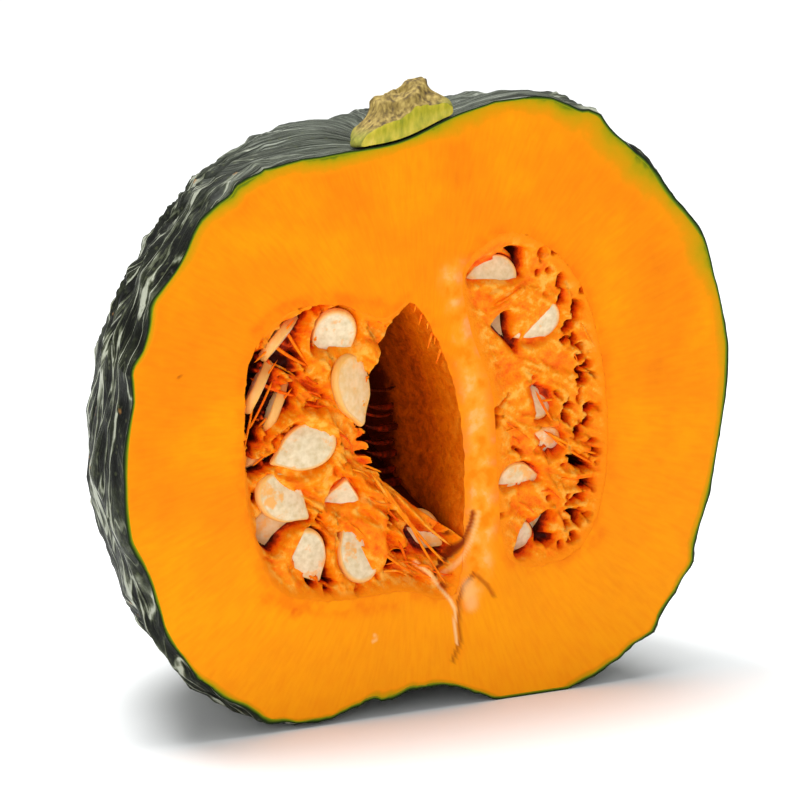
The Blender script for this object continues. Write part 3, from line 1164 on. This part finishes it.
def makeSeedCoat():
    # seed coat, damp: cream face with orange pulp stains, yellow raised margin
    material, add, shader = newMaterial("damp cream seed coat")
    margin, golden = readAttributes(add, "margin", "golden")
    coords = add("TexCoord")
    stain = add("TexNoise", {"Vector": coords, "Scale": 210.0, "Detail": 5.0, "Roughness": 0.6})
    cream = add("TexNoise", {"Vector": coords, "Scale": 700.0, "Detail": 4.0})
    coat = add("ValToRGB", [cream], ramp=[(0.3, "#d0bf98"), (0.7, "#ecdfc0")])
    stainShare = add("MapRange", [stain, 0.54, 0.66, 0.0, 0.8], smooth)
    washShare = add("Math", [add("Math", [golden, stain], "MULTIPLY"), 1.8], "MULTIPLY")
    rimShare = add("Math", [margin, 0.85], "MULTIPLY")
    setInputs(shader, {
        "IOR": 1.45, "Roughness": 0.38,
        "Subsurface Weight": 0.1, "Subsurface Radius": (0.002, 0.0015, 0.0008), "Subsurface Scale": 1.0,
        "Base Color": layColours(
            add, coat, (stainShare, "#f4a030"), (washShare, "#f6b040"), (rimShare, "#f2ae4c"),
        ),
        "Normal": add("Bump", {"Strength": 0.25, "Distance": 0.2 * mm, "Height": cream}),
    })
    return material


def makeCork():
    # dry stem cork: tan with fibres, browner in the cracks, green towards the foot
    material, add, shader = newMaterial("dry corky stem")
    [rising] = readAttributes(add, "rising")
    coords = add("TexCoord")
    cloud = add("TexNoise", {"Vector": coords, "Scale": 380.0, "Detail": 6.0, "Roughness": 0.65})
    stretched = add("Mapping", {"Vector": coords, "Scale": (1.0, 1.0, 0.25)})
    fibre = add("TexNoise", {"Vector": stretched, "Scale": 900.0, "Detail": 5.0})
    cork = add("ValToRGB", [fibre], ramp=[(0.32, "#453310"), (0.48, "#806a2c"), (0.7, "#b29a52")])
    green = add("ValToRGB", [cloud], ramp=[(0.35, "#6f7018"), (0.6, "#949230"), (0.75, "#a88238")])
    corkShare = add("MapRange", [rising, 0.2, 0.6, 0.0, 1.0], smooth)
    setInputs(shader, {
        "IOR": 1.45, "Roughness": 0.8,
        "Base Color": layColours(add, green, (corkShare, cork)),
        "Normal": add("Bump", {"Strength": 0.6, "Distance": 0.5 * mm, "Height": fibre}),
    })
    return material


def makeStemSlice():
    # sliced stem foot: moist yellow green with pale strings
    material, add, shader = newMaterial("sliced green stem")
    stretched = add("Mapping", {"Vector": add("TexCoord"), "Scale": (1.0, 1.0, 0.35)})
    cloud = add("TexNoise", {"Vector": stretched, "Scale": 420.0, "Detail": 6.0, "Roughness": 0.6})
    colours = add("ValToRGB", [cloud], ramp=[
        (0.3, "#7c8210"), (0.45, "#a8a01c"), (0.6, "#c4b234"), (0.75, "#d8bc60"),
    ])
    setInputs(shader, {
        "Base Color": colours, "IOR": 1.4, "Roughness": 0.5,
        "Normal": add("Bump", {"Strength": 0.5, "Distance": 0.4 * mm, "Height": cloud}),
    })
    return material


# Build the pieces

print("building the rind")
buildRind(makeRindSkin(), makeRindEdge())

print("building the flesh")
wallStops = [(0.1, "#ff8a18"), (0.35, "#ee6a00"), (0.65, "#cc4a00"), (1.0, "#6a1c00")]
buildFlesh(makeFlesh(), makePulp("fibrous hollow wall", wallStops))

print("building the seeds")
seedCoat = makeSeedCoat()
for sideName, seeds in (("left", leftSeeds), ("right", rightSeeds)):
    for index, entry in enumerate(seeds):
        label = "%s_%02d" % (sideName, index + 1)
        buildSeed("seed_coat_" + label, entry, seedCoat, "seed_" + label)

print("building the pulp")
pulpStops = [
    (0.0, "#ffb040"), (0.14, "#ff9204"), (0.34, "#ff7600"),
    (0.54, "#f25000"), (0.72, "#a42600"), (1.0, "#3c0a00"),
]
pulpMaterial = makePulp("wet stringy pulp", pulpStops)
for sideName, side in pulpSides.items():
    side["tree"] = outlineTree(side["outline"])
    buildPulp("pulp_strings_" + sideName, side, pulpMaterial, "pulp_" + sideName)

print("building the stem")
buildStem(makeCork(), makeStemSlice())


# Floor, light and camera

def makeFloor():
    # matt white board: plain bright ground that takes the soft shadow
    material, _, shader = newMaterial("matt white board")
    setInputs(shader, {"Base Color": "#f4f6f6", "Roughness": 0.7})
    bm = bmesh.new()
    bmesh.ops.create_grid(bm, x_segments=1, y_segments=1, size=8.0)
    mesh = toMesh("floor", bm)
    mesh.materials.append(material)
    floor = addObject("floor", mesh)


lights = {
    # name: (azimuth, elevation, distance, size, power)
    "key": (-40, 12, 1.4, 0.8, 5.0),
    "top": (-140, 70, 1.2, 0.6, 11.0),
}
sun = {"azimuth": 150, "elevation": 76, "strength": 2.35, "angle": 50}
skyStrength = 0.44
view = {
    "azimuth": -28.0,
    "elevation": 10.8,
    "distance": 0.8,
    "lens": 150.0,
    "target": Vector((middle.x - 7.47 * mm, cutY, middle.z + 4.6 * mm)),
}


def aim(thing, azimuth, elevation, distance, target):
    side, up = math.radians(azimuth), math.radians(elevation)
    back = Vector((math.sin(side) * math.cos(up), -math.cos(side) * math.cos(up), math.sin(up)))
    thing.location = target + back * distance
    thing.rotation_euler = back.to_track_quat("Z", "Y").to_euler()


def makeLights():
    for name, (azimuth, elevation, distance, size, power) in lights.items():
        data = bpy.data.lights.new(name, "AREA")
        data.shape = "DISK"
        data.size = size
        data.energy = power
        aim(addObject(name, data), azimuth, elevation, distance, middle)
    data = bpy.data.lights.new("sun", "SUN")
    data.energy = sun["strength"]
    data.angle = math.radians(sun["angle"])
    aim(addObject("sun", data), sun["azimuth"], sun["elevation"], 1.0, middle)
    world = bpy.data.worlds.new("studio")
    world.use_nodes = True
    setInputs(world.node_tree.nodes["Background"], {"Color": "#ffffff", "Strength": skyStrength})
    bpy.context.scene.world = world


def makeCamera():
    data = bpy.data.cameras.new("camera")
    data.lens = view["lens"]
    data.sensor_width = 36.0
    camera = addObject("camera", data)
    aim(camera, view["azimuth"], view["elevation"], view["distance"], view["target"])
    bpy.context.scene.camera = camera


makeFloor()
makeLights()
makeCamera()
bpy.context.scene.view_settings.view_transform = "Standard"
print("stage set")
